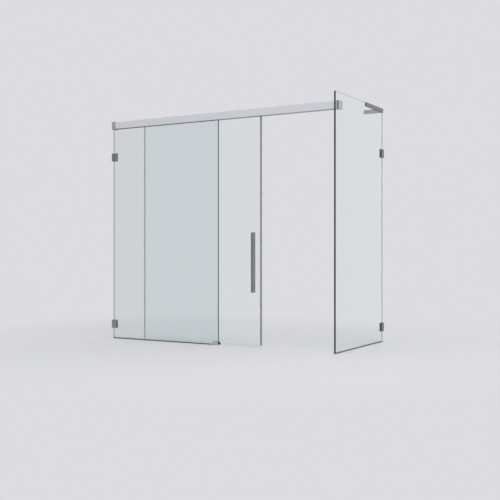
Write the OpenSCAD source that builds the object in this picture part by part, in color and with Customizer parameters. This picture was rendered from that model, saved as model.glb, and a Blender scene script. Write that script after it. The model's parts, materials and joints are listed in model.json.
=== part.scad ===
// Sliding bath screen: a fixed pane and a sliding door hung in a top rail across the front,
// and a return pane along the open end, clipped to a left wall and a back wall.
// X runs from the left wall to the return pane, Y from the bather's side to the back wall, Z up.
// The origin is the middle of the footprint, on top of the bath rim.

/* [Overall] */
// Length from the left wall to the inner face of the return pane
front_length = 1559; // [1450:1:1700]
// Depth from the front edge of the return pane to the back wall
side_depth = 700; // [560:1:900]
// How far the return pane stands ahead of the rail
return_overhang = 30; // [22:1:60]
// Height of the return pane's top edge above the bath rim
return_top_h = 1423; // [1200:1:1600]
// How far the rail's underside lies below the return pane's top edge
rail_drop = 92; // [60:1:110]

/* [Panes] */
// Thickness of the fixed pane
fixed_glass_t = 10; // [8:1:10]
// Thickness of the door pane
door_glass_t = 8; // [6:1:8]
// Thickness of the return pane
return_glass_t = 10; // [8:1:12]
// Gap between the fixed pane and the left wall
fixed_wall_gap = 10; // [8:1:14]
// Width of the fixed pane
fixed_glass_w = 785; // [740:1:790]
// Gap between the return pane and the back wall
return_wall_gap = 10; // [8:1:14]
// Width of the door pane
door_glass_w = 830; // [800:1:860]
// Distance of the door's left edge from the left wall, as drawn
door_left = 245; // [230:1:300]
// Gap between the door pane and the bath rim
door_rim_gap = 10; // [8:1:14]
// Radius of the small bevel worked on the pane corners
pane_corner_r = 2; // [1:0.5:5]

/* [Door travel] */
// Gap between the open door and the wall clips
open_gap = 20; // [8:1:60]
// Gap between the closed door's seal and the return pane
closed_gap = 2; // [1:0.5:6]

/* [Rail] */
// Depth of the rail section
rail_d = 35; // [35:0.5:40]
// Height of the rail section
rail_h = 45; // [45:0.5:50]
// Outer wall of the rail section
rail_wall = 2; // [1.6:0.1:2.4]
// Partition between the two chambers of the rail
rail_web = 1.8; // [1.4:0.1:2.2]
// Height of the pocket that takes the fixed pane
pocket_h = 18; // [17:0.5:20]
// How far the fixed pane reaches into the rail
fixed_bite = 16; // [12:0.5:16]
// Rounding of the rail's outer edges
rail_edge_r = 1.5; // [0.8:0.1:1.9]
// Height of the running ledges above the rail's underside
ledge_v = 25; // [25:0.5:26]
// Thickness of the running ledges
ledge_t = 2.5; // [2:0.1:2.5]
// Width of the slot between the running ledges
slot_w = 7; // [6.8:0.1:7.2]
// Radius of the round bead that the wheels run on
bead_r = 1; // [0.8:0.1:1]
// Thickness of the glazing gaskets beside the fixed pane
gasket_t = 1.2; // [1:0.1:1.3]
// How far the front glazing gasket hangs below the rail
gasket_lip = 3; // [0.5:0.5:5]

/* [Rail ends] */
// Length of the wall bracket that sleeves the rail
bracket_l = 24; // [20:1:30]
// Thickness of the wall bracket's base
bracket_base_t = 4; // [3:0.5:5]
// Thickness of the wall bracket's sleeve
sleeve_t = 2.5; // [2:0.1:3]
// Gap between the sleeve and the rail
sleeve_gap = 0.15; // [0.1:0.05:0.3]
// Spacing of the wall bracket's screw holes
bracket_hole_pitch = 24; // [20:1:26]
// Thickness of the end block's flange
flange_t = 3; // [2.5:0.5:4]
// Length of the end block's lobes
lobe_l = 22; // [20:1:30]
// Play between the end block's lobes and the rail
lobe_play = 0.3; // [0.2:0.1:0.5]
// Width of the corner plate
corner_plate_w = 50; // [44:1:60]
// Height of the corner plate
corner_plate_h = 46; // [42:1:60]
// Thickness of the corner plate
corner_plate_t = 10; // [8:0.5:10]
// How far the corner plate's middle stands ahead of the rail's middle
corner_plate_shift = 3.5; // [0:0.5:6]
// How far the corner plate's middle lies below the rail's middle
corner_plate_drop = 2; // [0:0.5:4]
// Height of the corner bolts above the rail's underside
corner_bolt_v = 36; // [35:0.5:37]

/* [Wall clips] */
// Reach of a wall clip from the wall
clip_l = 35; // [33:1:45]
// Height of a wall clip
clip_h = 52; // [46:1:60]
// Thickness of each cheek of a wall clip
clip_cheek_t = 6; // [5.5:0.5:8]
// Thickness of the web that lies on the wall
clip_web_t = 5; // [4:0.5:6]
// Thickness of the gaskets between metal and glass
clip_gasket_t = 1; // [0.8:0.1:1.5]
// Rounding of a wall clip's edges
clip_edge_r = 3; // [1.5:0.5:4]
// Height of the lower wall clips
lower_clip_h = 91; // [70:1:150]
// How far the upper wall clips lie below the return pane's top edge
upper_clip_drop = 272; // [180:1:500]
// Spacing of the wall screw holes in a clip
clip_hole_pitch = 30; // [26:1:32]
// Spacing of a clip's clamping screws
clip_screw_pitch = 28; // [24:1:30]
// Distance of a clip's clamping screws from the wall
clip_screw_x = 23; // [21:1:25]

/* [Top stabiliser] */
// Length of the stabiliser's leg on the return pane
stabiliser_side_l = 272; // [200:1:350]
// Reach of the stabiliser's leg on the back wall, from the inside of the side leg
stabiliser_wall_l = 115; // [95:1:160]
// Thickness of the stabiliser's cap over the return pane
stabiliser_cap_t = 2; // [2:0.5:8]
// Thickness of the stabiliser's wall leg
stabiliser_wall_t = 13; // [10:0.5:16]
// Thickness of the stabiliser's walls beside the glass
stabiliser_cheek_t = 2; // [2:0.1:3]
// How far the return pane reaches into the stabiliser
stabiliser_bite = 21; // [16:0.5:24]
// Spacing of the stabiliser's wall screw holes
stabiliser_hole_pitch = 60; // [40:1:70]

/* [Bottom guide] */
// Length of the bottom guide
guide_l = 38; // [32:1:60]
// Height of the guide's clamp that holds the fixed pane
guide_h = 23; // [18:1:28]
// Height of the guide's lip behind the door
guide_lip_h = 8; // [6:1:12]
// Thickness of the guide's outer walls
guide_wall_t = 3.4; // [2.6:0.2:5]
// Thickness of the liner between guide and fixed pane
guide_liner_t = 0.8; // [0.6:0.1:1]
// Thickness of the guide's nylon pads
guide_pad_t = 4; // [3:0.1:4.2]
// Height of the guide's nylon pads above the bath rim
guide_pad_top = 15; // [13:1:18]
// Gap between a nylon pad and the door pane
guide_play = 0.6; // [0.4:0.1:0.8]

/* [Door hardware] */
// Distance of each carriage from the nearer door edge
carriage_inset = 80; // [60:1:120]
// Length of a carriage
carriage_l = 50; // [48:1:60]
// Thickness of a carriage's arms
carriage_t = 6.8; // [6:0.2:6.8]
// Height of a carriage's arms
carriage_h = 11; // [9:0.5:11]
// Distance between a carriage's two axles
axle_pitch = 32; // [30:1:34]
// Radius of the axles
axle_r = 2; // [1.8:0.1:2.2]
// Radius of the wheels over their flanges
wheel_r = 7; // [6.8:0.1:7.2]
// Width of the wheels
wheel_w = 3.2; // [2.8:0.1:3.2]
// Outer radius of the wheel bearings
bearing_r = 4; // [3.6:0.1:4.2]
// Running clearance of a bearing on its axle
bearing_clearance = 0.03; // [0.02:0.01:0.05]
// Gap between wheel groove and bead
rolling_gap = 0.3; // [0.25:0.05:0.4]
// Radius of the hanger bolts
hanger_r = 3; // [2.5:0.5:3]
// How far the door pane reaches into the rail
door_bite = 14; // [11:0.5:14]
// Length of a glass clamp
clamp_l = 48; // [40:1:50]
// Height of a glass clamp
clamp_h = 19.5; // [17:0.5:19.5]
// Thickness of a glass clamp's cheeks
clamp_cheek_t = 2.6; // [2.2:0.1:2.8]
// Thickness of the liners in a glass clamp
clamp_liner_t = 0.8; // [0.6:0.1:0.9]

/* [Handle] */
// Height of the handle's lower end above the bath rim
handle_z = 314; // [250:1:500]
// Length of the handle bars
handle_l = 350; // [250:1:500]
// Width of the handle bars
handle_w = 17; // [15:1:25]
// Depth of each handle bar
handle_d = 10; // [8:0.5:14]
// Distance from the handle to the door's leading edge
handle_inset = 43; // [35:1:70]
// Distance of the handle's studs from its ends
handle_stud_inset = 40; // [25:1:60]
// Thickness of the gasket under each bar
handle_gasket_t = 0.8; // [0.6:0.1:1.2]
// Rounding of the handle's edges
handle_edge_r = 2; // [1:0.5:3]

/* [Seals] */
// Thickness of the sealing strips' base under the panes
seal_base_t = 2.5; // [2:0.5:4]
// Height of the sealing strips' wings
seal_wing_h = 3; // [2:0.5:9]
// Thickness of the sealing strips' wings
seal_wing_t = 1.2; // [0.8:0.1:1.4]
// Reach of the door's leading seal beyond the pane
leading_nose = 6; // [4:0.5:8]
// Reach of the door's trailing seal beyond the pane
trailing_nose = 2; // [2:0.5:4]
// Length of the door seals' grip on the pane
seal_grip = 5; // [4:0.5:9]
// Thickness of the door seals' legs
seal_leg_t = 0.9; // [0.7:0.1:1.2]

/* [Hidden] */
$fn = 48;
eps = 0.01;
contact_gap = 0.3;
thread_fit = 0.02;
screw_r = 2.5;
screw_head_r = 4.25;
screw_head_h = 4;
socket_r = 2.2;
socket_depth = 2.4;
small_screw_r = 2;
small_socket_r = 1.2;
lock_socket_r = 1.3;
screw_cover = 2;
tip_play = 0.5;
gasket_inset = 1;
wall_hole_r = 2.75;
countersink_r = 5.2;
countersink_depth = 2.6;
bush_hole_r = 5;
bush_wall_play = 0.1;
bush_bore_r = 2.6;
lock_screw_l = 5;
lock_screw_inset = 5;
nut_r = 5.77;
nut_h = 3.2;
rivet_r = 2.9;
rivet_t = 0.4;
collar_r = 2.6;
side_play = 0.1;
groove_depth = 0.8;
notch_play = 2;
lobe_end_t = 4;
gasket_top_gap = 2;
fine_edge_r = 1;
guide_edge_r = 1.2;
boss_edge_r = 2;

overall_l = front_length + return_glass_t + clip_gasket_t + max(corner_plate_t, clip_cheek_t);
overall_d = side_depth;
rail_underside_h = return_top_h - rail_drop;
upper_clip_h = return_top_h - upper_clip_drop;

// Rail section, measured from its front face and its underside
pocket_w = fixed_glass_t + 2 * gasket_t;
chamber_u = rail_wall + pocket_w + rail_web;
chamber_w = rail_d - rail_wall - chamber_u;
chamber_mid = chamber_u + chamber_w / 2;
hollow_v = pocket_h + rail_web;
ledge_top = ledge_v + ledge_t;
ceiling_v = rail_h - rail_wall;
ledge_mid = slot_w / 2 + (chamber_w - slot_w) / 4;

// Places across the depth, measured from the return pane's front edge
rail_y = return_overhang;
fixed_y = rail_y + rail_wall + gasket_t;
door_mid_y = rail_y + chamber_mid;
door_y = door_mid_y - door_glass_t / 2;
door_back_y = door_mid_y + door_glass_t / 2;

// Places along the length, measured from the left wall
rail_start = bracket_base_t;
rail_end = front_length - clip_gasket_t - flange_t;
fixed_right = fixed_wall_gap + fixed_glass_w;
door_right = door_left + door_glass_w;
guide_left = fixed_right - guide_l;
travel_open = door_left - clip_l - open_gap;
travel_close = front_length - closed_gap - leading_nose - door_right;
handle_right = door_right - handle_inset;
handle_left = handle_right - handle_w;
carriage_x = [door_left + carriage_inset, door_right - carriage_inset];

// Wheel and carriage heights, measured from the rail's underside
groove_r = bead_r + rolling_gap;
axle_v = ledge_top + rolling_gap + bead_r + wheel_r - groove_depth;
tread_depth = axle_v - ledge_top;
arm_v = axle_v - carriage_h / 2;
boss_l = 13;
boss_w = 15;
boss_rise = 3.5;
boss_top_v = axle_v + boss_rise;
clamp_w = door_glass_t + 2 * clamp_liner_t + 2 * clamp_cheek_t;
clamp_v = 1;
clamp_slot_top = door_bite + tip_play;

// End stops in the rail
stop_l = 12;
stop_side_gap = 0.6;
stop_w = chamber_w - 2 * stop_side_gap;
buffer_r = 4.5;
buffer_l = 4.7;
open_stop_x = carriage_x[0] - travel_open - carriage_l / 2 - contact_gap;
close_stop_x = carriage_x[1] + travel_close + carriage_l / 2 + contact_gap;

clip_heights = [lower_clip_h, upper_clip_h];
stabiliser_z = return_top_h - stabiliser_bite;
stabiliser_h = stabiliser_bite + clip_gasket_t + stabiliser_cap_t;
stabiliser_w = return_glass_t + 2 * clip_gasket_t + 2 * stabiliser_cheek_t;
stabiliser_x = front_length - clip_gasket_t - stabiliser_cheek_t;

// Moves a shape drawn from the left wall, the return pane's front edge and the rim to the origin
module in_place() {
    translate([-overall_l / 2, -overall_d / 2, 0]) children();
}

// Stands an outline drawn in depth and height along the length
module along_x(length) {
    rotate([90, 0, 90]) linear_extrude(length) children();
}

// Stands an outline drawn in length and height along the depth
module along_y(length) {
    translate([0, length, 0]) rotate([90, 0, 0]) linear_extrude(length) children();
}

// A cylinder that lies along the length
module rod_x(r, length) {
    rotate([0, 90, 0]) cylinder(r = r, h = length);
}

// A cylinder that lies along the depth
module rod_y(r, length) {
    translate([0, length, 0]) rotate([90, 0, 0]) cylinder(r = r, h = length);
}

// Rectangle with round corners
module round_rect(w, h, r) {
    translate([r, 0]) square([w - 2 * r, h]);
    translate([0, r]) square([w, h - 2 * r]);
    for (x = [r, w - r], y = [r, h - r]) translate([x, y]) circle(r);
}

// Block with all its edges rounded
module soft_block(l, w, h, r) {
    intersection() {
        linear_extrude(h) round_rect(l, w, r);
        along_x(l) round_rect(w, h, r);
        along_y(w) round_rect(l, h, r);
    }
}

// Outline of the rail from outside
module rail_outline() {
    round_rect(rail_d, rail_h, rail_edge_r);
}

// Section of the rail: a glass pocket under a hollow in front, and the door's running track behind
module rail_section() {
    difference() {
        rail_outline();
        translate([rail_wall, -eps]) square([pocket_w, pocket_h + eps]);
        translate([rail_wall, hollow_v]) square([pocket_w, ceiling_v - hollow_v]);
        translate([chamber_u, -eps]) square([chamber_w, ledge_v + eps]);
        translate([chamber_mid - slot_w / 2, 0]) square([slot_w, ledge_top + eps]);
        translate([chamber_u, ledge_top]) square([chamber_w, ceiling_v - ledge_top]);
    }
    for (side = [-1, 1]) translate([chamber_mid + side * ledge_mid, ledge_top]) circle(bead_r);
}

// Heights and places of the screws that lock the rail to its wall bracket
bracket_lock_v = [12, axle_v];
lock_screw_x = bracket_base_t + (bracket_l - bracket_base_t) / 2;
// Places of the screws that lock the rail to its end block
block_lock_x = [rail_end - lobe_l + lock_screw_inset, rail_end - lock_screw_inset];

// Runs its child at each lock screw's place, on the rail's back face
module at_lock_screws() {
    back_y = rail_y + rail_d;
    for (v = bracket_lock_v) translate([lock_screw_x, back_y, rail_underside_h + v]) children();
    for (x = block_lock_x) translate([x, back_y, rail_underside_h + corner_bolt_v]) children();
}

module top_rail() {
    color("lightsteelblue") in_place() difference() {
        translate([rail_start, rail_y, rail_underside_h])
            along_x(rail_end - rail_start) rail_section();
        at_lock_screws() translate([0, -rail_wall - eps, 0])
            rod_y(screw_r + thread_fit, rail_wall + 2 * eps);
    }
}

module rail_wall_bracket() {
    grow = sleeve_t + sleeve_gap;
    color("gray") in_place() difference() {
        translate([0, rail_y - grow, rail_underside_h - grow])
            along_x(bracket_l) round_rect(rail_d + 2 * grow, rail_h + 2 * grow, rail_edge_r + grow);
        translate([bracket_base_t, rail_y - sleeve_gap, rail_underside_h - sleeve_gap])
            cube([bracket_l, rail_d + 2 * sleeve_gap, rail_h + 2 * sleeve_gap]);
        translate([fixed_wall_gap - notch_play, rail_y + rail_wall, rail_underside_h - grow - eps])
            cube([bracket_l, pocket_w, grow + 2 * eps]);
        for (side = [-1, 1])
            translate([0, rail_y + rail_d / 2,
                       rail_underside_h + rail_h / 2 + side * bracket_hole_pitch / 2])
                wall_screw_hole(bracket_base_t);
        for (v = bracket_lock_v)
            translate([lock_screw_x, rail_y + rail_d, rail_underside_h + v])
                rod_y(screw_r + thread_fit, grow + eps);
    }
}

// Screw hole through a plate that lies on the left wall, countersunk on the room side
module wall_screw_hole(plate_t) {
    translate([-eps, 0, 0]) rod_x(wall_hole_r, plate_t + 2 * eps);
    translate([plate_t - countersink_depth, 0, 0]) rotate([0, 90, 0])
        cylinder(r1 = wall_hole_r, r2 = countersink_r, h = countersink_depth + eps);
}

// A headless screw along the depth, with its socket on the back end
module grub_screw_y(r, length, socket) {
    difference() {
        rod_y(r, length);
        translate([0, length - min(socket_depth, length / 2), 0]) rotate([-90, 0, 0])
            cylinder(r = socket, h = length, $fn = 6);
    }
}

module rail_lock_screws() {
    grow = sleeve_t + sleeve_gap;
    color("dimgray") in_place() {
        for (v = bracket_lock_v)
            translate([lock_screw_x, rail_y + rail_d + grow - lock_screw_l, rail_underside_h + v])
                grub_screw_y(screw_r, lock_screw_l, lock_socket_r);
        for (x = block_lock_x)
            translate([x, rail_y + rail_d - lock_screw_l, rail_underside_h + corner_bolt_v])
                grub_screw_y(screw_r, lock_screw_l, lock_socket_r);
    }
}

// Places of the two corner bolts across the depth
corner_bolt_y = [rail_y + rail_wall + pocket_w / 2, door_mid_y];

module rail_end_block() {
    lobe_v = ledge_top + bead_r + lobe_play;
    color("silver") in_place() difference() {
        union() {
            translate([rail_end, rail_y, rail_underside_h]) along_x(flange_t) rail_outline();
            translate([rail_end - lobe_l, rail_y + rail_wall + lobe_play,
                       rail_underside_h + hollow_v + lobe_play])
                cube([lobe_l + eps, pocket_w - 2 * lobe_play, ceiling_v - hollow_v - 2 * lobe_play]);
            translate([rail_end - lobe_l, rail_y + chamber_u + lobe_play, rail_underside_h + lobe_v])
                cube([lobe_l + eps, chamber_w - 2 * lobe_play, ceiling_v - lobe_v - lobe_play]);
        }
        for (y = corner_bolt_y) translate([rail_end - lobe_l, y, rail_underside_h + corner_bolt_v]) {
            translate([-eps, 0, 0]) rod_x(screw_head_r + thread_fit, lobe_l - lobe_end_t + eps);
            rod_x(screw_r + thread_fit, lobe_l + flange_t + eps);
        }
        for (x = block_lock_x)
            translate([x, rail_y + rail_d - lock_screw_l - eps, rail_underside_h + corner_bolt_v])
                rod_y(screw_r + thread_fit, lock_screw_l);
    }
}

corner_plate_y = rail_y + rail_d / 2 - corner_plate_shift - corner_plate_w / 2;
corner_plate_z = rail_underside_h + rail_h / 2 - corner_plate_drop - corner_plate_h / 2;

module corner_plate() {
    plate_x = front_length + return_glass_t + clip_gasket_t;
    color("silver") in_place() difference() {
        translate([plate_x, corner_plate_y, corner_plate_z]) intersection() {
            translate([-corner_plate_t, 0, 0])
                soft_block(2 * corner_plate_t, corner_plate_w, corner_plate_h, clip_edge_r);
            cube([corner_plate_t, corner_plate_w, corner_plate_h]);
        }
        for (y = corner_bolt_y) translate([plate_x - eps, y, rail_underside_h + corner_bolt_v])
            rod_x(screw_r + thread_fit, corner_plate_t - screw_cover);
    }
}

module corner_gaskets() {
    color("dimgray") in_place() difference() {
        union() {
            translate([front_length - clip_gasket_t, rail_y, rail_underside_h])
                along_x(clip_gasket_t) rail_outline();
            translate([front_length + return_glass_t, corner_plate_y + gasket_inset,
                       corner_plate_z + gasket_inset])
                cube([clip_gasket_t, corner_plate_w - 2 * gasket_inset,
                      corner_plate_h - 2 * gasket_inset]);
        }
        for (y = corner_bolt_y)
            translate([rail_end, y, rail_underside_h + corner_bolt_v])
                rod_x(bush_bore_r, 2 * return_glass_t);
    }
}

module corner_bolts() {
    head_x = rail_end - lobe_end_t - screw_head_h;
    plate_front_x = front_length + return_glass_t + clip_gasket_t + corner_plate_t;
    tip_x = plate_front_x - screw_cover - tip_play;
    color("dimgray") in_place() for (y = corner_bolt_y)
        translate([head_x, y, rail_underside_h + corner_bolt_v]) difference() {
            union() {
                rod_x(screw_head_r, screw_head_h);
                rod_x(screw_r, tip_x - head_x);
            }
            translate([-eps, 0, 0]) rotate([0, 90, 0])
                cylinder(r = socket_r, h = socket_depth, $fn = 6);
        }
}

// Holes in the return pane for the corner bolts
module at_corner_holes() {
    for (y = corner_bolt_y)
        translate([front_length, y, rail_underside_h + corner_bolt_v]) children();
}

module glass_bushes() {
    color("whitesmoke") in_place() {
        at_corner_holes() glass_bush(return_glass_t);
        for (z = clip_heights) {
            at_left_clip(z) for (side = [-1, 1])
                translate([clip_screw_x, -fixed_glass_t / 2, side * clip_screw_pitch / 2])
                    rotate([0, 0, 90]) glass_bush(fixed_glass_t);
            at_back_clip(z) for (side = [-1, 1])
                translate([clip_screw_x, -return_glass_t / 2, side * clip_screw_pitch / 2])
                    rotate([0, 0, 90]) glass_bush(return_glass_t);
        }
    }
}

// Nylon sleeve that keeps a screw off the glass
module glass_bush(glass_t) {
    difference() {
        rod_x(bush_hole_r - bush_wall_play, glass_t);
        translate([-eps, 0, 0]) rod_x(bush_bore_r, glass_t + 2 * eps);
    }
}

module fixed_glass() {
    height = rail_underside_h + fixed_bite - seal_base_t;
    color("powderblue", 0.5) in_place() difference() {
        translate([fixed_wall_gap, fixed_y, seal_base_t])
            along_y(fixed_glass_t) round_rect(fixed_glass_w, height, pane_corner_r);
        for (z = clip_heights, side = [-1, 1])
            translate([clip_screw_x, fixed_y - eps, z + side * clip_screw_pitch / 2])
                rod_y(bush_hole_r, fixed_glass_t + 2 * eps);
    }
}

module rail_gaskets() {
    start = bracket_l + notch_play;
    top_h = rail_underside_h + fixed_bite - gasket_top_gap;
    front_z = rail_underside_h - gasket_lip;
    color("dimgray") in_place() {
        translate([start, rail_y + rail_wall, front_z])
            cube([fixed_right - start, gasket_t, top_h - front_z]);
        translate([start, fixed_y + fixed_glass_t, rail_underside_h])
            cube([fixed_right - start, gasket_t, top_h - rail_underside_h]);
    }
}

// Section of a sealing strip under a pane: a flat base and two thin wings
module strip_section(glass_t) {
    difference() {
        square([glass_t + 2 * seal_wing_t, seal_base_t + seal_wing_h]);
        translate([seal_wing_t, seal_base_t]) square([glass_t, seal_wing_h + eps]);
        for (side = [0, 1]) translate([side * (glass_t + 2 * seal_wing_t), seal_base_t + seal_wing_h])
            circle(seal_wing_t / 2);
    }
}

module fixed_bottom_seal() {
    color("dimgray") in_place() translate([fixed_wall_gap, fixed_y - seal_wing_t, 0])
        along_x(guide_left - fixed_wall_gap) strip_section(fixed_glass_t);
}

module return_glass() {
    width = side_depth - return_wall_gap;
    color("powderblue", 0.5) in_place() difference() {
        translate([front_length, 0, seal_base_t])
            along_x(return_glass_t) round_rect(width, return_top_h - seal_base_t, pane_corner_r);
        at_corner_holes() translate([-eps, 0, 0]) rod_x(bush_hole_r, return_glass_t + 2 * eps);
        for (z = clip_heights, side = [-1, 1])
            translate([front_length - eps, side_depth - clip_screw_x,
                       z + side * clip_screw_pitch / 2])
                rod_x(bush_hole_r, return_glass_t + 2 * eps);
    }
}

module return_bottom_seal() {
    color("dimgray") in_place() translate([front_length - seal_wing_t, 0, 0])
        along_y(side_depth - return_wall_gap) strip_section(return_glass_t);
}

// Places of the stabiliser's pinching screws along the depth
stabiliser_screw_count = 3;
stabiliser_screw_inset = 35;
stabiliser_screw_end = 60;
stabiliser_screw_step = (stabiliser_side_l - stabiliser_screw_inset - stabiliser_screw_end)
    / (stabiliser_screw_count - 1);
stabiliser_screw_y = [for (k = [0:stabiliser_screw_count - 1])
    side_depth - stabiliser_side_l + stabiliser_screw_inset + k * stabiliser_screw_step];

module stabiliser_bar() {
    slot_w_x = return_glass_t + 2 * clip_gasket_t;
    slot_h = stabiliser_bite + clip_gasket_t;
    hole_mid_x = stabiliser_x - stabiliser_wall_l / 2;
    color("gray") in_place() difference() {
        union() {
            translate([stabiliser_x, side_depth - stabiliser_side_l, stabiliser_z])
                soft_block(stabiliser_w, stabiliser_side_l, stabiliser_h, fine_edge_r);
            translate([stabiliser_x - stabiliser_wall_l, side_depth - stabiliser_wall_t, stabiliser_z])
                soft_block(stabiliser_wall_l + stabiliser_w, stabiliser_wall_t, stabiliser_h,
                           fine_edge_r);
        }
        translate([front_length - clip_gasket_t, side_depth - stabiliser_side_l - eps,
                   stabiliser_z - eps])
            cube([slot_w_x, stabiliser_side_l - stabiliser_wall_t / 2 + eps, slot_h + eps]);
        for (side = [-1, 1])
            translate([hole_mid_x + side * stabiliser_hole_pitch / 2, side_depth,
                       stabiliser_z + stabiliser_h / 2])
                rotate([0, 0, -90]) wall_screw_hole(stabiliser_wall_t);
        for (y = stabiliser_screw_y)
            translate([stabiliser_x - eps, y, stabiliser_z + stabiliser_bite / 2])
                rod_x(small_screw_r + thread_fit, stabiliser_cheek_t + 2 * eps);
    }
}

module stabiliser_liner() {
    color("dimgray") in_place()
        translate([front_length - clip_gasket_t, side_depth - stabiliser_side_l, stabiliser_z])
            along_y(stabiliser_side_l - return_wall_gap) difference() {
                square([return_glass_t + 2 * clip_gasket_t, stabiliser_bite + clip_gasket_t]);
                translate([clip_gasket_t, -eps]) square([return_glass_t, stabiliser_bite + eps]);
            }
}

module stabiliser_grub_screws() {
    color("dimgray") in_place() for (y = stabiliser_screw_y)
        translate([stabiliser_x, y, stabiliser_z + stabiliser_bite / 2]) difference() {
            rod_x(small_screw_r, stabiliser_cheek_t);
            translate([-eps, 0, 0]) rotate([0, 90, 0])
                cylinder(r = small_socket_r, h = stabiliser_cheek_t / 2, $fn = 6);
        }
}

// Clips are drawn with X from the wall, Y = 0 in the middle of the pane and Z = 0 at mid height,
// with the outer cheek towards -Y
module at_left_clip(z) {
    translate([0, fixed_y + fixed_glass_t / 2, z]) children();
}

module at_back_clip(z) {
    translate([front_length + return_glass_t / 2, side_depth, z])
        rotate([0, 0, -90]) rotate([180, 0, 0]) children();
}

// Whole outline of a clip, with its free edges rounded and its wall end flat
module clip_envelope(glass_t) {
    w = glass_t + 2 * clip_gasket_t + 2 * clip_cheek_t;
    translate([0, -w / 2, -clip_h / 2]) intersection() {
        translate([-clip_l, 0, 0]) soft_block(2 * clip_l, w, clip_h, clip_edge_r);
        cube([clip_l, w, clip_h]);
    }
}

// Outer cheek and wall web in one, with a step for the pane and for the inner cheek
module clip_body(glass_t) {
    half = glass_t / 2 + clip_gasket_t;
    difference() {
        clip_envelope(glass_t);
        translate([clip_web_t, -half, -clip_h]) cube([clip_l, clip_l, 2 * clip_h]);
        for (side = [-1, 1]) {
            translate([0, 0, side * clip_hole_pitch / 2]) wall_screw_hole(clip_web_t);
            translate([clip_screw_x, -half - clip_cheek_t + screw_cover, side * clip_screw_pitch / 2])
                rod_y(screw_r + thread_fit, clip_cheek_t);
        }
    }
}

// Inner cheek, which the clamping screws draw towards the body
module clip_cheek(glass_t) {
    half = glass_t / 2 + clip_gasket_t;
    difference() {
        intersection() {
            clip_envelope(glass_t);
            translate([clip_web_t, half, -clip_h]) cube([clip_l, clip_l, 2 * clip_h]);
        }
        for (side = [-1, 1]) translate([clip_screw_x, half - eps, side * clip_screw_pitch / 2]) {
            rod_y(screw_r + thread_fit, clip_cheek_t + 2 * eps);
            translate([0, clip_cheek_t - screw_head_h + eps, 0])
                rod_y(screw_head_r + thread_fit, screw_head_h + eps);
        }
    }
}

// Gaskets on both faces of the pane
module clip_pads(glass_t) {
    for (y = [-glass_t / 2 - clip_gasket_t, glass_t / 2]) difference() {
        translate([clip_web_t, y, -clip_h / 2 + gasket_inset])
            cube([clip_l - clip_web_t - gasket_inset, clip_gasket_t, clip_h - 2 * gasket_inset]);
        for (side = [-1, 1]) translate([clip_screw_x, y - eps, side * clip_screw_pitch / 2])
            rod_y(bush_bore_r, clip_gasket_t + 2 * eps);
    }
}

// Cap screws from the inner cheek through the pane into the body
module clip_clamp_screws(glass_t) {
    half = glass_t / 2 + clip_gasket_t;
    tip_y = -half - clip_cheek_t + screw_cover + tip_play;
    head_y = half + clip_cheek_t - screw_head_h;
    for (side = [-1, 1]) translate([clip_screw_x, 0, side * clip_screw_pitch / 2]) difference() {
        union() {
            translate([0, tip_y, 0]) rod_y(screw_r, head_y - tip_y + eps);
            translate([0, head_y, 0]) rod_y(screw_head_r, screw_head_h);
        }
        translate([0, head_y + screw_head_h - socket_depth, 0]) rotate([-90, 0, 0])
            cylinder(r = socket_r, h = socket_depth + eps, $fn = 6);
    }
}

module fixed_lower_clip() {
    color("gray") in_place() at_left_clip(lower_clip_h) clip_body(fixed_glass_t);
}
module fixed_upper_clip() {
    color("gray") in_place() at_left_clip(upper_clip_h) clip_body(fixed_glass_t);
}
module return_lower_clip() {
    color("gray") in_place() at_back_clip(lower_clip_h) clip_body(return_glass_t);
}
module return_upper_clip() {
    color("gray") in_place() at_back_clip(upper_clip_h) clip_body(return_glass_t);
}
module fixed_lower_cheek() {
    color("gray") in_place() at_left_clip(lower_clip_h) clip_cheek(fixed_glass_t);
}
module fixed_upper_cheek() {
    color("gray") in_place() at_left_clip(upper_clip_h) clip_cheek(fixed_glass_t);
}
module return_lower_cheek() {
    color("gray") in_place() at_back_clip(lower_clip_h) clip_cheek(return_glass_t);
}
module return_upper_cheek() {
    color("gray") in_place() at_back_clip(upper_clip_h) clip_cheek(return_glass_t);
}

module clip_gaskets() {
    color("dimgray") in_place() for (z = clip_heights) {
        at_left_clip(z) clip_pads(fixed_glass_t);
        at_back_clip(z) clip_pads(return_glass_t);
    }
}

module clip_screws() {
    color("dimgray") in_place() for (z = clip_heights) {
        at_left_clip(z) clip_clamp_screws(fixed_glass_t);
        at_back_clip(z) clip_clamp_screws(return_glass_t);
    }
}

// Guide places across the depth: the fixed pane's slot, then the door's slot
guide_slot_front = fixed_y - guide_liner_t;
guide_slot_back = fixed_y + fixed_glass_t + guide_liner_t;
door_slot_front = door_y - guide_play - guide_pad_t;
door_slot_back = door_back_y + guide_play + guide_pad_t;
guide_y = guide_slot_front - guide_wall_t;
guide_clamp_d = door_slot_front - guide_y;
guide_d = door_slot_back + guide_wall_t - guide_y;
guide_floor_t = seal_base_t;
guide_screw_x = [guide_left + guide_l / 4, fixed_right - guide_l / 4];
guide_screw_z = guide_h / 2 + guide_floor_t / 2;

// Block that stands on the rim, with its upper edges and corners rounded
module standing_block(depth, height) {
    intersection() {
        translate([0, 0, -height]) soft_block(guide_l, depth, 2 * height, guide_edge_r);
        cube([guide_l, depth, height]);
    }
}

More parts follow.
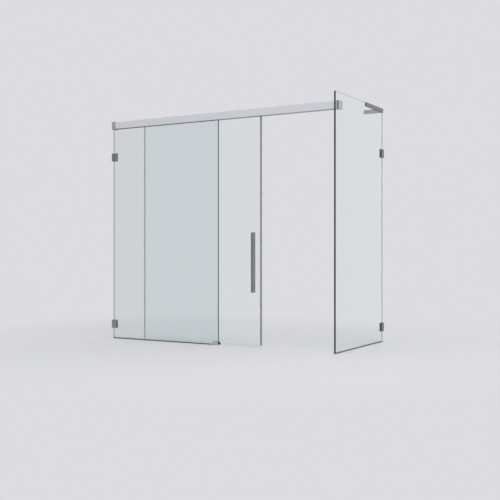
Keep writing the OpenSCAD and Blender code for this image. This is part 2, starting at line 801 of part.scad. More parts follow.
// A tall clamp for the fixed pane, and behind it a low channel that the door runs through
module guide_body() {
    color("lightgray") in_place() difference() {
        translate([guide_left, guide_y, 0]) {
            standing_block(guide_clamp_d, guide_h);
            standing_block(guide_d, guide_lip_h);
        }
        translate([guide_left - eps, guide_slot_front, guide_floor_t])
            cube([guide_l + 2 * eps, guide_slot_back - guide_slot_front, guide_h]);
        translate([guide_left - eps, door_slot_front, guide_floor_t])
            cube([guide_l + 2 * eps, door_slot_back - door_slot_front, guide_h]);
        for (x = guide_screw_x) translate([x, guide_y - eps, guide_screw_z])
            rod_y(small_screw_r + thread_fit, guide_wall_t + 2 * eps);
    }
}

module guide_liner() {
    color("dimgray") in_place()
        for (y = [guide_slot_front, fixed_y + fixed_glass_t])
            translate([guide_left + gasket_inset, y, guide_floor_t])
                cube([guide_l - 2 * gasket_inset, guide_liner_t,
                      guide_h - guide_floor_t - gasket_inset]);
}

// Outline of a pad from above, with rounded lead-ins towards the door pane
module pad_outline() {
    lead = guide_pad_t / 2;
    square([guide_l, guide_pad_t - lead]);
    translate([lead, 0]) square([guide_l - 2 * lead, guide_pad_t]);
    for (x = [lead, guide_l - lead]) translate([x, guide_pad_t - lead]) circle(lead);
}

module guide_pads() {
    pad_h = guide_pad_top - guide_floor_t;
    color("dimgray") in_place() {
        translate([guide_left, door_slot_front, guide_floor_t])
            linear_extrude(pad_h) pad_outline();
        translate([guide_left, door_slot_back, guide_floor_t]) mirror([0, 1, 0])
            linear_extrude(pad_h) pad_outline();
    }
}

module guide_grub_screws() {
    color("dimgray") in_place() for (x = guide_screw_x)
        translate([x, guide_y + guide_wall_t, guide_screw_z]) rotate([0, 0, 180])
            grub_screw_y(small_screw_r, guide_wall_t, small_socket_r);
}

stop_hole_cover = 4;
stop_head_h = 4;
stop_flange_t = 1;
stop_flange_r = screw_head_r + 1.25;

// Stop block drawn with its buffer face at X = 0, reaching towards -X, from the rail's underside
module stop_block() {
    block_v = ledge_top + bead_r + contact_gap;
    difference() {
        union() {
            translate([-buffer_l - stop_l, -stop_w / 2, block_v])
                cube([stop_l, stop_w, ceiling_v - contact_gap - block_v]);
            translate([-buffer_l - stop_l, -slot_w / 2 + contact_gap, ledge_v + contact_gap])
                cube([stop_l, slot_w - 2 * contact_gap, block_v - ledge_v]);
        }
        translate([-buffer_l - stop_l / 2, 0, ledge_v])
            cylinder(r = screw_r + thread_fit, h = ceiling_v - ledge_v - stop_hole_cover);
    }
}

// Flanged screw that draws a stop block down onto the ledges
module stop_screw() {
    flange_v = ledge_v - stop_flange_t;
    head_v = flange_v - stop_head_h;
    translate([-buffer_l - stop_l / 2, 0, 0]) difference() {
        union() {
            translate([0, 0, head_v]) cylinder(r = screw_head_r, h = stop_head_h + eps);
            translate([0, 0, flange_v]) cylinder(r = stop_flange_r, h = stop_flange_t);
            translate([0, 0, ledge_v - eps])
                cylinder(r = screw_r, h = ceiling_v - ledge_v - stop_hole_cover - tip_play);
        }
        translate([0, 0, head_v - eps]) cylinder(r = socket_r, h = socket_depth, $fn = 6);
    }
}

module at_open_stop() {
    in_place() translate([open_stop_x, door_mid_y, rail_underside_h]) children();
}

module at_close_stop() {
    in_place() translate([close_stop_x, door_mid_y, rail_underside_h]) rotate([0, 0, 180]) children();
}

module left_stop() { color("silver") at_open_stop() stop_block(); }
module right_stop() { color("silver") at_close_stop() stop_block(); }

module stop_buffers() {
    color("dimgray") {
        at_open_stop() translate([-buffer_l, 0, axle_v]) rod_x(buffer_r, buffer_l);
        at_close_stop() translate([-buffer_l, 0, axle_v]) rod_x(buffer_r, buffer_l);
    }
}

module stop_screws() {
    color("dimgray") {
        at_open_stop() stop_screw();
        at_close_stop() stop_screw();
    }
}

// Heights of the handle's studs
handle_stud_z = [handle_z + handle_stud_inset, handle_z + handle_l - handle_stud_inset];
handle_mid_x = handle_left + handle_w / 2;
handle_hole_r = 6;

module door_glass() {
    height = rail_underside_h + door_bite - door_rim_gap;
    color("powderblue", 0.5) in_place() difference() {
        translate([door_left, door_y, door_rim_gap])
            along_y(door_glass_t) round_rect(door_glass_w, height, pane_corner_r);
        for (z = handle_stud_z) translate([handle_mid_x, door_y - eps, z])
            rod_y(handle_hole_r, door_glass_t + 2 * eps);
    }
}

// Places a shape drawn from a carriage's middle and the rail's underside
module at_carriage(side) {
    in_place() translate([carriage_x[side], door_mid_y, rail_underside_h]) children();
}

// Carriage: two round-ended arms and a wide boss for the hanger bolt
module carriage() {
    end_r = carriage_h / 2;
    difference() {
        union() {
            translate([0, -carriage_t / 2, axle_v]) along_y(carriage_t) {
                square([carriage_l - carriage_h, carriage_h], center = true);
                for (end = [-1, 1]) translate([end * (carriage_l / 2 - end_r), 0]) circle(end_r);
            }
            translate([-boss_l / 2, -boss_w / 2, arm_v])
                linear_extrude(boss_top_v - arm_v) round_rect(boss_l, boss_w, boss_edge_r);
        }
        translate([-boss_l / 2 - 1, -boss_w, boss_top_v])
            cube([boss_l + 2, 2 * boss_w, carriage_h]);
        for (side = [-1, 1]) translate([side * axle_pitch / 2, -carriage_t, axle_v])
            rod_y(axle_r + thread_fit, 2 * carriage_t);
        translate([0, 0, arm_v - eps]) cylinder(r = hanger_r + thread_fit, h = carriage_h);
    }
}

module left_carriage() { color("darkgray") at_carriage(0) carriage(); }
module right_carriage() { color("darkgray") at_carriage(1) carriage(); }

// Place of a wheel's inner face from the middle of the track
wheel_inner = ledge_mid - wheel_w / 2;

// Axle with a collar inside each wheel and a riveted head outside
module axle() {
    rod_length = 2 * (wheel_inner + wheel_w + side_play);
    translate([0, -rod_length / 2, 0]) rod_y(axle_r, rod_length);
    for (side = [0, 1]) mirror([0, side, 0]) {
        translate([0, rod_length / 2, 0]) rod_y(rivet_r, rivet_t);
        translate([0, carriage_t / 2, 0]) rod_y(collar_r, wheel_inner - side_play - carriage_t / 2);
    }
}

module carriage_axles() {
    color("silver") for (side = [0, 1]) at_carriage(side)
        for (end = [-1, 1]) translate([end * axle_pitch / 2, 0, axle_v]) axle();
}

// Section of a wheel about its axle, with a round groove that fits the bead
module wheel_section() {
    difference() {
        translate([bearing_r + thread_fit, -wheel_w / 2])
            square([wheel_r - bearing_r - thread_fit, wheel_w]);
        translate([tread_depth, 0]) circle(groove_r);
    }
}

// Shape at both wheels of one axle, with end -1 or 1 for the axle's place on its carriage
module at_wheels(side, end) {
    at_carriage(side) for (face = [-1, 1])
        translate([end * axle_pitch / 2, face * ledge_mid, axle_v]) rotate([90, 0, 0]) children();
}

module wheels(side, end) { color("white") at_wheels(side, end) rotate_extrude() wheel_section(); }

module bearings(side, end) {
    color("silver") at_wheels(side, end) difference() {
        cylinder(r = bearing_r, h = wheel_w, center = true);
        cylinder(r = axle_r + bearing_clearance, h = wheel_w + 1, center = true);
    }
}

module left_wheels_a() { wheels(0, -1); }
module left_wheels_b() { wheels(0, 1); }
module right_wheels_a() { wheels(1, -1); }
module right_wheels_b() { wheels(1, 1); }
module left_bearings_a() { bearings(0, -1); }
module left_bearings_b() { bearings(0, 1); }
module right_bearings_a() { bearings(1, -1); }
module right_bearings_b() { bearings(1, 1); }

module hanger_bolts() {
    tip_v = clamp_slot_top + contact_gap;
    color("dimgray") for (side = [0, 1]) at_carriage(side) {
        translate([0, 0, tip_v]) cylinder(r = hanger_r, h = boss_top_v - tip_v + eps);
        translate([0, 0, boss_top_v]) cylinder(r = nut_r, h = nut_h, $fn = 6);
    }
}

module hanger_nuts() {
    color("dimgray") for (side = [0, 1]) at_carriage(side)
        translate([0, 0, clamp_v + clamp_h]) difference() {
            cylinder(r = nut_r, h = nut_h, $fn = 6);
            translate([0, 0, -eps]) cylinder(r = hanger_r + thread_fit, h = nut_h + 2 * eps);
        }
}

clamp_screw_x = [-clamp_l / 3, clamp_l / 3];
clamp_screw_v = clamp_v + (clamp_slot_top - clamp_v) / 2;

// Channel that grips the door pane's top edge and takes the hanger bolt
module glass_clamp() {
    slot = door_glass_t + 2 * clamp_liner_t;
    difference() {
        translate([-clamp_l / 2, -clamp_w / 2, clamp_v])
            along_x(clamp_l) round_rect(clamp_w, clamp_h, fine_edge_r);
        translate([-clamp_l, -slot / 2, -clamp_h]) cube([2 * clamp_l, slot, clamp_h + clamp_slot_top]);
        translate([0, 0, clamp_v]) cylinder(r = hanger_r + thread_fit, h = clamp_h + 1);
        for (x = clamp_screw_x) translate([x, slot / 2 - eps, clamp_screw_v])
            rod_y(small_screw_r + thread_fit, clamp_cheek_t + 2 * eps);
    }
}

module left_glass_clamp() { color("silver") at_carriage(0) glass_clamp(); }
module right_glass_clamp() { color("silver") at_carriage(1) glass_clamp(); }

module clamp_liners() {
    color("dimgray") for (side = [0, 1]) at_carriage(side)
        for (y = [-door_glass_t / 2 - clamp_liner_t, door_glass_t / 2])
            translate([-clamp_l / 2 + gasket_inset, y, clamp_v])
                cube([clamp_l - 2 * gasket_inset, clamp_liner_t, door_bite - clamp_v]);
}

module clamp_grub_screws() {
    color("dimgray") for (side = [0, 1]) at_carriage(side) for (x = clamp_screw_x)
        translate([x, door_glass_t / 2 + clamp_liner_t, clamp_screw_v])
            grub_screw_y(small_screw_r, clamp_cheek_t, small_socket_r);
}

lift_pad_l = 8;
lift_pad_x = boss_l / 2 + 2.5;

// Nylon pads on the arms that keep the wheels on their beads
module anti_lift_pads() {
    color("white") for (side = [0, 1]) at_carriage(side) for (end = [0, 1]) mirror([end, 0, 0])
        translate([lift_pad_x, -carriage_t / 2, arm_v + carriage_h])
            cube([lift_pad_l, carriage_t, ceiling_v - contact_gap - arm_v - carriage_h]);
}

// Handle bar with its flat back at Y = 0, reaching towards -Y, with blind holes for the studs
module handle_bar() {
    difference() {
        translate([handle_left, -handle_d, handle_z])
            soft_block(handle_w, handle_d, handle_l, handle_edge_r);
        for (z = handle_stud_z) translate([handle_mid_x, -handle_d + screw_cover, z])
            rod_y(hanger_r + thread_fit, handle_d);
    }
}

module handle_outer_bar() {
    color("dimgray") in_place() translate([0, door_y - handle_gasket_t, 0]) handle_bar();
}

module handle_inner_bar() {
    color("dimgray") in_place() translate([0, door_back_y + handle_gasket_t, 0])
        mirror([0, 1, 0]) handle_bar();
}

module handle_gaskets() {
    color("black") in_place() for (y = [door_y - handle_gasket_t, door_back_y]) difference() {
        translate([handle_left + handle_edge_r, y, handle_z + handle_edge_r])
            cube([handle_w - 2 * handle_edge_r, handle_gasket_t, handle_l - 2 * handle_edge_r]);
        for (z = handle_stud_z) translate([handle_mid_x, y - eps, z])
            rod_y(hanger_r + thread_fit, handle_gasket_t + 2 * eps);
    }
}

module handle_studs() {
    reach = door_glass_t / 2 + handle_gasket_t + handle_d - screw_cover - tip_play;
    color("silver") in_place() for (z = handle_stud_z)
        translate([handle_mid_x, door_mid_y - reach, z]) rod_y(hanger_r, 2 * reach);
}

module handle_bushes() {
    color("white") in_place() for (z = handle_stud_z) translate([handle_mid_x, door_y, z])
        difference() {
            rod_y(handle_hole_r - bush_wall_play, door_glass_t);
            translate([0, -eps, 0]) rod_y(hanger_r + thread_fit, door_glass_t + 2 * eps);
        }
}

seal_z = door_rim_gap;
seal_top_gap = 2;
seal_h = rail_underside_h - seal_top_gap - seal_z;
seal_skin_t = 1.2;

// Section of a door edge seal from above: pane edge at X = 0, nose towards +X, pane centred on Y
module edge_seal_section(nose) {
    w = door_glass_t + 2 * seal_leg_t;
    translate([-seal_grip, -w / 2]) square([seal_grip, seal_leg_t]);
    translate([-seal_grip, w / 2 - seal_leg_t]) square([seal_grip, seal_leg_t]);
    translate([0, -w / 2]) square([nose - seal_leg_t, w]);
    translate([nose - seal_leg_t, -w / 2 + seal_leg_t]) square([seal_leg_t, w - 2 * seal_leg_t]);
    for (side = [-1, 1]) translate([nose - seal_leg_t, side * (w / 2 - seal_leg_t)]) circle(seal_leg_t);
}

module leading_seal() {
    w = door_glass_t + 2 * seal_leg_t;
    color("gray") in_place() translate([door_right, door_mid_y, seal_z]) linear_extrude(seal_h)
        difference() {
            edge_seal_section(leading_nose);
            translate([seal_skin_t, -w / 2 + seal_skin_t])
                square([leading_nose - 2 * seal_skin_t, w - 2 * seal_skin_t]);
        }
}

module trailing_seal() {
    fin_reach = door_y - seal_leg_t - (fixed_y + fixed_glass_t) - contact_gap;
    color("gray") in_place() translate([door_left, door_mid_y, seal_z]) linear_extrude(seal_h)
        mirror([1, 0]) {
            edge_seal_section(trailing_nose);
            translate([0, -door_glass_t / 2 - seal_leg_t - fin_reach])
                square([seal_leg_t, fin_reach + eps]);
        }
}

top_rail();
rail_wall_bracket();
rail_end_block();
rail_lock_screws();
corner_plate();
corner_gaskets();
corner_bolts();
glass_bushes();
fixed_glass();
rail_gaskets();
fixed_bottom_seal();
return_glass();
return_bottom_seal();
stabiliser_bar();
stabiliser_liner();
stabiliser_grub_screws();
fixed_lower_clip();
fixed_upper_clip();
return_lower_clip();
return_upper_clip();
fixed_lower_cheek();
fixed_upper_cheek();
return_lower_cheek();
return_upper_cheek();
clip_gaskets();
clip_screws();
guide_body();
guide_liner();
guide_pads();
guide_grub_screws();
left_stop();
right_stop();
stop_buffers();
stop_screws();
door_glass();
left_carriage();
right_carriage();
carriage_axles();
hanger_bolts();
hanger_nuts();
left_glass_clamp();
right_glass_clamp();
clamp_liners();
clamp_grub_screws();
anti_lift_pads();
handle_outer_bar();
handle_inner_bar();
handle_gaskets();
handle_studs();
handle_bushes();
leading_seal();
trailing_seal();
left_wheels_a();
left_wheels_b();
right_wheels_a();
right_wheels_b();
left_bearings_a();
left_bearings_b();
right_bearings_a();
right_bearings_b();
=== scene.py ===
"""Looks of the sliding bath screen: clear panes with dark ground edges, an anodised rail, satin metal
fittings, rubber gaskets and soft clear seals. Sizes are in metres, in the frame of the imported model."""
import json
import math
from typing import NamedTuple

import bpy
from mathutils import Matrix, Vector

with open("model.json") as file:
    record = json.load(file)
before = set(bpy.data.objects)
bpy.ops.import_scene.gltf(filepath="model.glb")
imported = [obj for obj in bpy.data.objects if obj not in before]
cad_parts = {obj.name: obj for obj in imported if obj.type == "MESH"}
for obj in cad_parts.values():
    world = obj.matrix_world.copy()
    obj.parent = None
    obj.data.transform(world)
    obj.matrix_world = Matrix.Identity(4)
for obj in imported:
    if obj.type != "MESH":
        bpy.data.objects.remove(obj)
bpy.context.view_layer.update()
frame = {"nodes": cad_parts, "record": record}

# Camera, at the photograph's place and angle
CAMERA_PLACE = (2.6371, -4.4780, 0.5611)
CAMERA_TURN = math.radians(30.108)
CAMERA_LENS_MM = 60
CAMERA_SENSOR_MM = 36

# Floor: its half width, how far it lies under the object, and the distances from the middle between
# which it fades to the backdrop
FLOOR_HALF = 30.0
FLOOR_DROP = 0.001
FLOOR_NEAR = 1.0
FLOOR_FAR = 2.3
FLOOR_COLOUR = (0.647, 0.647, 0.67, 1.0)

# Light from all around
WORLD_COLOUR = (1.0, 1.0, 1.0, 1.0)
WORLD_LEVEL = 0.72

# Backdrop, a faintly cool white. Reflections see it brighter towards its bright side and darker
# opposite. The spans are cosines of the angle to the bright side, over which its level changes.
BACKDROP_COLOUR = (0.965, 0.965, 1.0, 1.0)
BACKDROP_LEVEL = 0.746
BACKDROP_DARK = 0.44
BACKDROP_LIGHT = 1.045
BRIGHT_SIDE = (0.5, 0.866, 0.0)
DARK_SPAN = (-0.9, 0.0)
LIGHT_SPAN = (0.75, 0.97)


class Lamp(NamedTuple):
    """A square area lamp; mirrored says whether reflections show it."""
    name: str
    place: tuple
    size: float
    watts: float
    mirrored: bool = True


LAMP_AIM = (0.0, 0.0, 0.7)
LAMPS = (
    Lamp("key", (3.6, -2.6, 3.6), 2.6, 95),
    Lamp("fill", (-2.6, -3.0, 4.4), 2.4, 45),
    Lamp("back", (0.4, 3.8, 3.2), 2.4, 45, mirrored=False),
)

# Noise: its roughness, the detail of the fine grain and of the broad clouds, and the clouds' scale
NOISE_ROUGHNESS = 0.6
GRAIN_DETAIL = 3.0
CLOUD_DETAIL = 2.0
CLOUD_SCALE = 9.0
# Share of the grain in how the roughness varies; the clouds have the rest
GRAIN_SHARE = 0.6
# Noise values at which a colour is all dark and all light
TINT_START = 0.3
TINT_END = 0.7
# Depth of the grain that the bump shows
BUMP_DEPTH = 0.0002

# Grain scales
ROLL_LINES = 900
SATIN_LINES = 700
CAST_GRAIN = 1400
SOFT_GRAIN = 500
EDGE_GRAIN = 900

# Stretches of the grain: drawn out along one axis, or even
ALONG_X = (0.02, 1, 1)
ALONG_Y = (1, 0.02, 1)
ALONG_Z = (1, 1, 0.02)
EVEN = (1, 1, 1)

# Ranges of roughness and strengths of bump that finishes share
SATIN_ROUGH = (0.24, 0.36)
SATIN_BUMP = 0.12
CAST_ROUGH = (0.36, 0.50)
CAST_BUMP = 0.2


def grey(level):
    """A neutral colour."""
    return (level, level, level)


class Finish(NamedTuple):
    """An opaque finish: its two colours, the stretch and scale of its grain, its range of roughness,
    the strength of its bump, and how metallic it is."""
    dark: tuple
    light: tuple
    stretch: tuple
    grain: float
    rough: tuple
    bump: float
    metallic: float = 0.0


# Opaque finishes, by the name of their material
FINISHES = {
    "rail_aluminium": Finish((0.64, 0.655, 0.70), (0.71, 0.725, 0.77), ALONG_X, ROLL_LINES,
                             (0.38, 0.50), 0.06, metallic=0.3),
    "satin_metal_z": Finish(grey(0.325), grey(0.415), ALONG_Z, SATIN_LINES,
                            SATIN_ROUGH, SATIN_BUMP, metallic=1.0),
    # Painted light: a lighter copy of the satin metal for the corner plate, standing in for the bright
    # reflection on its side
    "satin_metal_painted_light": Finish((0.38, 0.376, 0.37), (0.48, 0.475, 0.467), ALONG_Z, SATIN_LINES,
                               SATIN_ROUGH, SATIN_BUMP, metallic=1.0),
    # Painted shade: a darker, half metallic copy of the satin metal, grained along Y, for the stabiliser
    # bar by the back wall
    "satin_metal_y_painted_shade": Finish((0.145, 0.145, 0.15), (0.195, 0.195, 0.20), ALONG_Y, SATIN_LINES,
                            (0.32, 0.44), SATIN_BUMP, metallic=0.5),
    # Painted shade: a darker, less metallic copy of the satin metal for the return pane's clips, standing
    # in for the shaded wall beside them that they reflect
    "satin_metal_painted_shade": Finish(grey(0.12), grey(0.16), ALONG_Z, SATIN_LINES,
                               (0.34, 0.46), SATIN_BUMP, metallic=0.3),
    "satin_metal_x": Finish((0.36, 0.365, 0.38), (0.42, 0.425, 0.44), ALONG_X, SATIN_LINES,
                            (0.36, 0.48), 0.1, metallic=0.4),
    "cast_alloy": Finish((0.42, 0.42, 0.44), (0.52, 0.52, 0.54), EVEN, CAST_GRAIN,
                         CAST_ROUGH, CAST_BUMP, metallic=1.0),
    "cast_alloy_pale": Finish(grey(0.56), grey(0.66), EVEN, CAST_GRAIN,
                              CAST_ROUGH, CAST_BUMP, metallic=0.8),
    "gasket_rubber": Finish((0.022, 0.023, 0.025), (0.035, 0.036, 0.039), EVEN, SOFT_GRAIN,
                            (0.6, 0.8), 0.2),
    "gasket_grey": Finish((0.30, 0.31, 0.31), (0.36, 0.37, 0.37), EVEN, SOFT_GRAIN,
                          (0.5, 0.7), 0.15),
    "nylon": Finish((0.74, 0.74, 0.71), (0.80, 0.80, 0.77), EVEN, SOFT_GRAIN, (0.35, 0.5), 0.1),
    "dark_nylon": Finish((0.016, 0.016, 0.018), (0.026, 0.026, 0.028), EVEN, SOFT_GRAIN,
                         (0.4, 0.55), 0.1),
    "screw_steel": Finish((0.26, 0.26, 0.27), (0.34, 0.34, 0.35), EVEN, CAST_GRAIN,
                          (0.22, 0.34), 0.08, metallic=1.0),
    "bearing_steel": Finish((0.60, 0.60, 0.62), (0.68, 0.68, 0.70), EVEN, CAST_GRAIN,
                            (0.10, 0.20), 0.03, metallic=1.0),
}


class Pane(NamedTuple):
    """A pane's glass: its thin axis, X or Y, and its tint."""
    across: str
    tint: tuple


PANES = {
    "fixed_pane_glass": Pane("Y", (0.872, 0.905, 0.905)),
    "door_pane_glass": Pane("Y", (0.955, 0.99, 0.985)),
    "side_pane_glass": Pane("X", (0.895, 0.93, 0.915)),
}
GLASS_IOR = 1.5
# Ground edges of the panes
EDGE_DARK = (0.030, 0.038, 0.038)
EDGE_LIGHT = (0.045, 0.056, 0.056)
EDGE_ROUGH = 0.45
EDGE_SPECULAR = 0.05
EDGE_BUMP = 0.15
EDGE_BUMP_DEPTH = 0.0001
# Share of a normal along the thin axis, over which it belongs to a clear face
FACE_NORMAL = 0.7


class Seal(NamedTuple):
    """A seal's soft clear plastic; clearness is the share seen straight through."""
    tint: tuple
    stretch: tuple
    clearness: float


SEALS = {
    "seal_plastic_lead": Seal((0.50, 0.53, 0.54), ALONG_Z, 0.6),
    "seal_plastic_trail": Seal((0.62, 0.65, 0.66), ALONG_Z, 0.9),
    "seal_plastic_x": Seal((0.20, 0.21, 0.215), ALONG_X, 0.0),
    "seal_plastic_y": Seal((0.20, 0.21, 0.215), ALONG_Y, 0.0),
}
SEAL_IOR = 1.45
SEAL_TRANSMISSION = 0.6
SEAL_ROUGH = (0.22, 0.34)
SEAL_BUMP = 0.2
SEAL_CLEAR = (0.95, 0.96, 0.96, 1.0)

# A node wears the material that NODE_LOOK names, or else the one of its record slot, which has the
# slot's own name unless SLOT_LOOK says otherwise
SLOT_LOOK = {
    "satin_metal": "satin_metal_z",
    "clear_glass": "fixed_pane_glass",
    "seal_plastic": "seal_plastic_lead",
}
NODE_LOOK = {
    "door_glass": "door_pane_glass",
    "return_glass": "side_pane_glass",
    # The corner plate wears a copy of the satin metal lightened with painted reflection
    "corner_plate": "satin_metal_painted_light",
    "guide_body": "cast_alloy_pale",
    # The stabiliser bar wears a copy of the satin metal darkened with painted shade
    "stabiliser_bar": "satin_metal_y_painted_shade",
    "rail_wall_bracket": "satin_metal_x",
    # The return clips wear a copy of the satin metal darkened with painted shade
    "return_lower_clip": "satin_metal_painted_shade",
    "return_upper_clip": "satin_metal_painted_shade",
    "handle_gaskets": "gasket_grey",
    "trailing_seal": "seal_plastic_trail",
    "fixed_bottom_seal": "seal_plastic_x",
    "return_bottom_seal": "seal_plastic_y",
}


def node(tree, kind, **inputs):
    """A new shader node, with the given sockets set; a name's underscores stand for spaces."""
    made = tree.nodes.new(kind)
    for name, value in inputs.items():
        made.inputs[name.replace("_", " ")].default_value = value
    return made


def link(tree, source, target):
    """Joins an output socket to an input socket."""
    tree.links.new(source, target)


def math_node(tree, operation, first, second=None):
    """The output of a Math node whose inputs are sockets or numbers."""
    made = tree.nodes.new("ShaderNodeMath")
    made.operation = operation
    for socket, value in zip(made.inputs, (first, second)):
        if isinstance(value, bpy.types.NodeSocket):
            link(tree, value, socket)
        elif value is not None:
            socket.default_value = value
    return made.outputs[0]


def vector_node(tree, operation, source):
    """A Vector Math node with source as its first input."""
    made = tree.nodes.new("ShaderNodeVectorMath")
    made.operation = operation
    link(tree, source, made.inputs[0])
    return made


def mixed(tree, share, first, second):
    """The shader first where share, a socket or a number, is 0, and second where it is 1."""
    mix = tree.nodes.new("ShaderNodeMixShader")
    if isinstance(share, bpy.types.NodeSocket):
        link(tree, share, mix.inputs["Fac"])
    else:
        mix.inputs["Fac"].default_value = share
    link(tree, first, mix.inputs[1])
    link(tree, second, mix.inputs[2])
    return mix.outputs[0]


def step(tree, source, start, end, low, high):
    """low where source is under start, high where it is over end, and a smooth step between."""
    made = node(tree, "ShaderNodeMapRange", From_Min=start, From_Max=end, To_Min=low, To_Max=high)
    made.interpolation_type = "SMOOTHSTEP"
    link(tree, source, made.inputs["Value"])
    return made.outputs["Result"]


def spread(tree, source, low, high):
    """source, from 0 to 1, mapped to low to high."""
    made = node(tree, "ShaderNodeMapRange", To_Min=low, To_Max=high)
    link(tree, source, made.inputs["Value"])
    return made.outputs["Result"]


def stretched_noise(tree, stretch, scale, detail=GRAIN_DETAIL):
    """Noise over the object's own coordinates, drawn out along the axes with a small stretch."""
    where = tree.nodes.new("ShaderNodeTexCoord")
    mapping = node(tree, "ShaderNodeMapping", Scale=stretch)
    noise = node(tree, "ShaderNodeTexNoise", Scale=scale, Detail=detail, Roughness=NOISE_ROUGHNESS)
    link(tree, where.outputs["Object"], mapping.inputs["Vector"])
    link(tree, mapping.outputs["Vector"], noise.inputs["Vector"])
    return noise.outputs["Fac"]


def tinted(tree, source, dark, light):
    """A colour that goes from dark to light with source."""
    ramp = tree.nodes.new("ShaderNodeValToRGB")
    ends = zip(ramp.color_ramp.elements, (TINT_START, TINT_END), (dark, light))
    for element, position, colour in ends:
        element.color = (*colour, 1.0)
        element.position = position
    link(tree, source, ramp.inputs["Fac"])
    return ramp.outputs["Color"]


def bumped(tree, source, strength, depth=BUMP_DEPTH):
    """A normal that follows source as a height."""
    bump = node(tree, "ShaderNodeBump", Strength=strength, Distance=depth)
    link(tree, source, bump.inputs["Height"])
    return bump.outputs["Normal"]


def blank_material(name):
    """A material with nothing but its output node, with its tree and the output's surface socket."""
    material = bpy.data.materials.new(name)
    material.use_nodes = True
    tree = material.node_tree
    tree.nodes.clear()
    out = tree.nodes.new("ShaderNodeOutputMaterial")
    return material, tree, out.inputs["Surface"]


def surface(name, finish):
    """An opaque material. Its colour and bump follow a stretched noise, and its roughness follows
    that and broad clouds."""
    material, tree, out = blank_material(name)
    shader = node(tree, "ShaderNodeBsdfPrincipled", Metallic=finish.metallic)
    grain = stretched_noise(tree, finish.stretch, finish.grain)
    cloud = stretched_noise(tree, EVEN, CLOUD_SCALE, CLOUD_DETAIL)
    link(tree, tinted(tree, grain, finish.dark, finish.light), shader.inputs["Base Color"])
    wear = math_node(tree, "ADD", math_node(tree, "MULTIPLY", grain, GRAIN_SHARE),
                     math_node(tree, "MULTIPLY", cloud, 1 - GRAIN_SHARE))
    link(tree, spread(tree, wear, *finish.rough), shader.inputs["Roughness"])
    link(tree, bumped(tree, grain, finish.bump), shader.inputs["Normal"])
    link(tree, shader.outputs[0], out)
    return material


def lets_lamps_through(tree, shader, tint):
    """The shader, but plain transparent for shadow rays, so that lamps reach what is behind."""
    path = tree.nodes.new("ShaderNodeLightPath")
    clear = node(tree, "ShaderNodeBsdfTransparent", Color=(*tint, 1.0))
    return mixed(tree, path.outputs["Is Shadow Ray"], shader, clear.outputs[0])


def ground_edge(tree):
    """Shader of a pane's dark ground edge."""
    edge = node(tree, "ShaderNodeBsdfPrincipled", Roughness=EDGE_ROUGH,
                Specular_IOR_Level=EDGE_SPECULAR)
    grain = stretched_noise(tree, EVEN, EDGE_GRAIN)
    link(tree, tinted(tree, grain, EDGE_DARK, EDGE_LIGHT), edge.inputs["Base Color"])
    link(tree, bumped(tree, grain, EDGE_BUMP, EDGE_BUMP_DEPTH), edge.inputs["Normal"])
    return edge.outputs[0]


def pane_glass(name, pane):
    """Clear glass with dark ground edges."""
    material, tree, out = blank_material(name)
    face = node(tree, "ShaderNodeBsdfPrincipled", Base_Color=(*pane.tint, 1.0), Roughness=0.0,
                IOR=GLASS_IOR, Transmission_Weight=1.0)
    where = tree.nodes.new("ShaderNodeTexCoord")
    parts = tree.nodes.new("ShaderNodeSeparateXYZ")
    link(tree, where.outputs["Normal"], parts.inputs[0])
    facing = math_node(tree, "ABSOLUTE", parts.outputs[pane.across])
    on_face = math_node(tree, "GREATER_THAN", facing, FACE_NORMAL)
    both = mixed(tree, on_face, ground_edge(tree), face.outputs[0])
    link(tree, lets_lamps_through(tree, both, pane.tint), out)
    return material


def soft_clear(name, seal):
    """Translucent soft plastic of the sealing strips."""
    material, tree, out = blank_material(name)
    shader = node(tree, "ShaderNodeBsdfPrincipled", Base_Color=(*seal.tint, 1.0), IOR=SEAL_IOR,
                  Transmission_Weight=SEAL_TRANSMISSION)
    grain = stretched_noise(tree, seal.stretch, SOFT_GRAIN)
    link(tree, spread(tree, grain, *SEAL_ROUGH), shader.inputs["Roughness"])
    link(tree, bumped(tree, grain, SEAL_BUMP), shader.inputs["Normal"])
    clear = node(tree, "ShaderNodeBsdfTransparent", Color=SEAL_CLEAR)
    both = mixed(tree, seal.clearness, shader.outputs[0], clear.outputs[0])
    link(tree, lets_lamps_through(tree, both, seal.tint), out)
    return material


def dress_nodes():
    """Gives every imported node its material."""
    materials = {}
    for make, table in ((surface, FINISHES), (pane_glass, PANES), (soft_clear, SEALS)):
        for name, values in table.items():
            materials[name] = make(name, values)
    for row in frame["record"]["subparts"]:
        slot = row["material_slot"]
        look = NODE_LOOK.get(row["node"], SLOT_LOOK.get(slot, slot))
        mesh = frame["nodes"][row["node"]].data
        mesh.materials.clear()
        mesh.materials.append(materials[look])


def seen_plainly(tree):
    """1 for camera, glossy and transmission rays, and 0 for the rays that light the object."""
    path = tree.nodes.new("ShaderNodeLightPath")
    either = math_node(tree, "MAXIMUM", path.outputs["Is Camera Ray"], path.outputs["Is Glossy Ray"])
    return math_node(tree, "MAXIMUM", either, path.outputs["Is Transmission Ray"])


def backdrop_level(tree, direction):
    """Level of the studio backdrop: even where it is seen, and in reflections brighter towards its
    bright side and darker opposite, so that satin metal shows a light and a dark side."""
    along = vector_node(tree, "DOT_PRODUCT", direction)
    along.inputs[1].default_value = BRIGHT_SIDE
    cosine = along.outputs["Value"]
    shaded = step(tree, cosine, *DARK_SPAN, BACKDROP_DARK - BACKDROP_LEVEL, 0.0)
    lit = step(tree, cosine, *LIGHT_SPAN, BACKDROP_LEVEL, BACKDROP_LIGHT)
    path = tree.nodes.new("ShaderNodeLightPath")
    reflected = math_node(tree, "SUBTRACT", path.outputs["Is Glossy Ray"],
                          path.outputs["Is Transmission Ray"])
    level = node(tree, "ShaderNodeMapRange", To_Min=BACKDROP_LEVEL)
    link(tree, reflected, level.inputs["Value"])
    link(tree, math_node(tree, "ADD", shaded, lit), level.inputs["To Max"])
    return level.outputs["Result"]


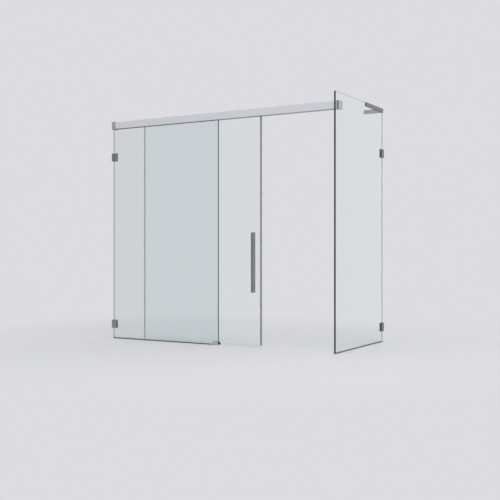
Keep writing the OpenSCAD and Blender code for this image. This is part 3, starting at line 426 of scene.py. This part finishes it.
def make_world():
    """Even light from all around. The camera, glass and metal see the backdrop in its place."""
    world = bpy.data.worlds.new("studio")
    bpy.context.scene.world = world
    world.use_nodes = True
    tree = world.node_tree
    tree.nodes.clear()
    out = tree.nodes.new("ShaderNodeOutputWorld")
    lighting = node(tree, "ShaderNodeBackground", Color=WORLD_COLOUR, Strength=WORLD_LEVEL)
    shown = node(tree, "ShaderNodeBackground", Color=BACKDROP_COLOUR)
    where = tree.nodes.new("ShaderNodeTexCoord")
    link(tree, backdrop_level(tree, where.outputs["Generated"]), shown.inputs["Strength"])
    both = mixed(tree, seen_plainly(tree), lighting.outputs[0], shown.outputs[0])
    link(tree, both, out.inputs["Surface"])


def floor_material():
    """Pale floor near the object, which fades to the backdrop's level further out."""
    material, tree, out = blank_material("stage_floor")
    pale = node(tree, "ShaderNodeBsdfDiffuse", Color=FLOOR_COLOUR)
    far = node(tree, "ShaderNodeEmission", Color=BACKDROP_COLOUR)
    where = tree.nodes.new("ShaderNodeTexCoord")
    outward = vector_node(tree, "NORMALIZE", where.outputs["Object"])
    link(tree, backdrop_level(tree, outward.outputs["Vector"]), far.inputs["Strength"])
    distance = vector_node(tree, "LENGTH", where.outputs["Object"])
    fade = step(tree, distance.outputs["Value"], FLOOR_NEAR, FLOOR_FAR, 0.0, 1.0)
    share = math_node(tree, "MULTIPLY", fade, seen_plainly(tree))
    link(tree, mixed(tree, share, pale.outputs[0], far.outputs[0]), out)
    return material


def make_floor():
    """A square floor just under the object."""
    mesh = bpy.data.meshes.new("floor")
    half = FLOOR_HALF
    corners = [(-half, -half, 0), (half, -half, 0), (half, half, 0), (-half, half, 0)]
    mesh.from_pydata(corners, [], [(0, 1, 2, 3)])
    mesh.materials.append(floor_material())
    floor = bpy.data.objects.new("floor", mesh)
    floor.location.z = -FLOOR_DROP
    bpy.context.scene.collection.objects.link(floor)


def make_lamps():
    """Soft square lamps that face the object and don't show through glass."""
    for lamp in LAMPS:
        light = bpy.data.lights.new(lamp.name, "AREA")
        light.shape = "SQUARE"
        light.size = lamp.size
        light.energy = lamp.watts
        box = bpy.data.objects.new(lamp.name, light)
        box.location = lamp.place
        direction = Vector(LAMP_AIM) - Vector(lamp.place)
        box.rotation_mode = "QUATERNION"
        box.rotation_quaternion = direction.to_track_quat("-Z", "Y")
        box.visible_transmission = False
        box.visible_glossy = lamp.mirrored
        bpy.context.scene.collection.objects.link(box)


def make_camera():
    """A level camera."""
    data = bpy.data.cameras.new("camera")
    data.lens = CAMERA_LENS_MM
    data.sensor_width = CAMERA_SENSOR_MM
    camera = bpy.data.objects.new("camera", data)
    camera.location = CAMERA_PLACE
    camera.rotation_euler = (math.pi / 2, 0, CAMERA_TURN)
    bpy.context.scene.collection.objects.link(camera)
    bpy.context.scene.camera = camera


bpy.context.scene.view_settings.view_transform = "Standard"
make_camera()
make_world()
make_floor()
make_lamps()
dress_nodes()
